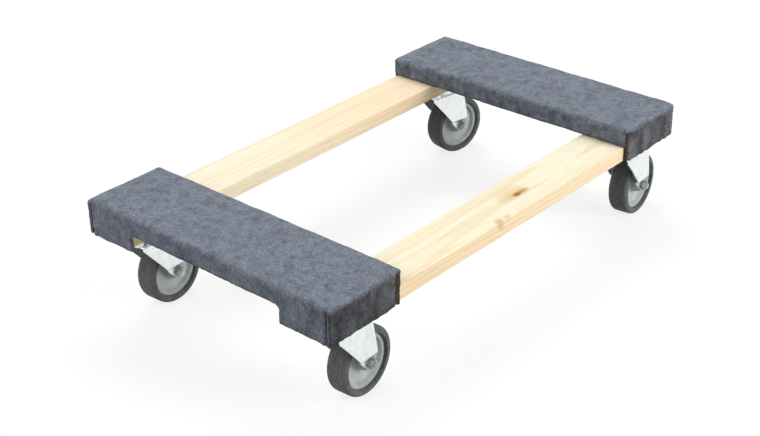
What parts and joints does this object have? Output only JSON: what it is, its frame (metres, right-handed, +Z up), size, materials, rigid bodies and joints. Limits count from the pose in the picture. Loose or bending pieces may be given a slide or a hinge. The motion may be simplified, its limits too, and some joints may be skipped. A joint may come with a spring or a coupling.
{
  "type": "carpet dolly",
  "caption": "Open-deck furniture dolly with flat wooden rails, carpet-covered end boards and swivelling plate casters.",
  "frame": {"origin": "on the floor, under the middle of the deck", "axes": "+Z up, +X along the rails to the back end (the casters trail that way at rest), +Y to the left rail"},
  "size_m": [0.8048, 0.4574, 0.1883],
  "materials": {
    "planed_wood": "planed, unfinished",
    "pile_carpet": "needle-punched heathered pile",
    "zinc_plate": "bright zinc plated pressing",
    "screw_steel": "zinc plated",
    "staple_wire": "galvanised wire",
    "bearing_steel": "ground and greased",
    "sleeve_steel": "drawn tube",
    "moulded_core": "moulded, satin",
    "tread_rubber": "moulded soft tread"
  },
  "bodies": {
    "frame": {"left_rail": "planed_wood", "right_rail": "planed_wood", "front_end_board": "planed_wood", "back_end_board": "planed_wood", "front_carpet": "pile_carpet", "back_carpet": "pile_carpet", "frame_screws": "screw_steel", "carpet_staples": "staple_wire", "caster_bolts": "zinc_plate", "caster_washers": "zinc_plate", "caster_nuts": "zinc_plate", "top_plate_front_right": "zinc_plate", "kingpin_front_right": "zinc_plate", "race_cap_front_right": "zinc_plate", "top_plate_front_left": "zinc_plate", "kingpin_front_left": "zinc_plate", "race_cap_front_left": "zinc_plate", "top_plate_back_left": "zinc_plate", "kingpin_back_left": "zinc_plate", "race_cap_back_left": "zinc_plate", "top_plate_back_right": "zinc_plate", "kingpin_back_right": "zinc_plate", "race_cap_back_right": "zinc_plate"},
    "swivel_front_right": {"fork_front_right": "zinc_plate", "axle_sleeve_front_right": "sleeve_steel", "axle_bolt_front_right": "zinc_plate", "axle_nut_front_right": "zinc_plate"},
    "balls_front_right": {"upper_balls_front_right": "bearing_steel", "lower_balls_front_right": "bearing_steel"},
    "wheel_front_right": {"wheel_core_front_right": "moulded_core", "wheel_tread_front_right": "tread_rubber"},
    "swivel_front_left": {"fork_front_left": "zinc_plate", "axle_sleeve_front_left": "sleeve_steel", "axle_bolt_front_left": "zinc_plate", "axle_nut_front_left": "zinc_plate"},
    "balls_front_left": {"upper_balls_front_left": "bearing_steel", "lower_balls_front_left": "bearing_steel"},
    "wheel_front_left": {"wheel_core_front_left": "moulded_core", "wheel_tread_front_left": "tread_rubber"},
    "swivel_back_left": {"fork_back_left": "zinc_plate", "axle_sleeve_back_left": "sleeve_steel", "axle_bolt_back_left": "zinc_plate", "axle_nut_back_left": "zinc_plate"},
    "balls_back_left": {"upper_balls_back_left": "bearing_steel", "lower_balls_back_left": "bearing_steel"},
    "wheel_back_left": {"wheel_core_back_left": "moulded_core", "wheel_tread_back_left": "tread_rubber"},
    "swivel_back_right": {"fork_back_right": "zinc_plate", "axle_sleeve_back_right": "sleeve_steel", "axle_bolt_back_right": "zinc_plate", "axle_nut_back_right": "zinc_plate"},
    "balls_back_right": {"upper_balls_back_right": "bearing_steel", "lower_balls_back_right": "bearing_steel"},
    "wheel_back_right": {"wheel_core_back_right": "moulded_core", "wheel_tread_back_right": "tread_rubber"}
  },
  "joints": [
    {"name": "swivel_front_right", "type": "hinge", "parent": "frame", "child": "swivel_front_right", "pos_m": [-0.3275, -0.1854, 0.128], "axis": [0, 0, 1], "continuous": true},
    {"name": "ball_race_front_right", "type": "hinge", "parent": "frame", "child": "balls_front_right", "pos_m": [-0.3275, -0.1854, 0.128], "axis": [0, 0, 1], "continuous": true},
    {"name": "wheel_spin_front_right", "type": "hinge", "parent": "swivel_front_right", "child": "wheel_front_right", "pos_m": [-0.29455, -0.18367, 0.05], "axis": [-0.0523, 0.9986, 0], "continuous": true},
    {"name": "swivel_front_left", "type": "hinge", "parent": "frame", "child": "swivel_front_left", "pos_m": [-0.3275, 0.1854, 0.128], "axis": [0, 0, 1], "continuous": true},
    {"name": "ball_race_front_left", "type": "hinge", "parent": "frame", "child": "balls_front_left", "pos_m": [-0.3275, 0.1854, 0.128], "axis": [0, 0, 1], "continuous": true},
    {"name": "wheel_spin_front_left", "type": "hinge", "parent": "swivel_front_left", "child": "wheel_front_left", "pos_m": [-0.29455, 0.18713, 0.05], "axis": [-0.0523, 0.9986, 0], "continuous": true},
    {"name": "swivel_back_left", "type": "hinge", "parent": "frame", "child": "swivel_back_left", "pos_m": [0.3275, 0.1854, 0.128], "axis": [0, 0, 1], "continuous": true},
    {"name": "ball_race_back_left", "type": "hinge", "parent": "frame", "child": "balls_back_left", "pos_m": [0.3275, 0.1854, 0.128], "axis": [0, 0, 1], "continuous": true},
    {"name": "wheel_spin_back_left", "type": "hinge", "parent": "swivel_back_left", "child": "wheel_back_left", "pos_m": [0.36, 0.17967, 0.05], "axis": [0.1736, 0.9848, 0], "continuous": true},
    {"name": "swivel_back_right", "type": "hinge", "parent": "frame", "child": "swivel_back_right", "pos_m": [0.3275, -0.1854, 0.128], "axis": [0, 0, 1], "continuous": true},
    {"name": "ball_race_back_right", "type": "hinge", "parent": "frame", "child": "balls_back_right", "pos_m": [0.3275, -0.1854, 0.128], "axis": [0, 0, 1], "continuous": true},
    {"name": "wheel_spin_back_right", "type": "hinge", "parent": "swivel_back_right", "child": "wheel_back_right", "pos_m": [0.36037, -0.18252, 0.05], "axis": [-0.0872, 0.9962, 0], "continuous": true}
  ],
  "couplings": [
    {"joint": "ball_race_front_right", "follows": "swivel_front_right", "ratio": 0.5},
    {"joint": "ball_race_front_left", "follows": "swivel_front_left", "ratio": 0.5},
    {"joint": "ball_race_back_left", "follows": "swivel_back_left", "ratio": 0.5},
    {"joint": "ball_race_back_right", "follows": "swivel_back_right", "ratio": 0.5}
  ]
}
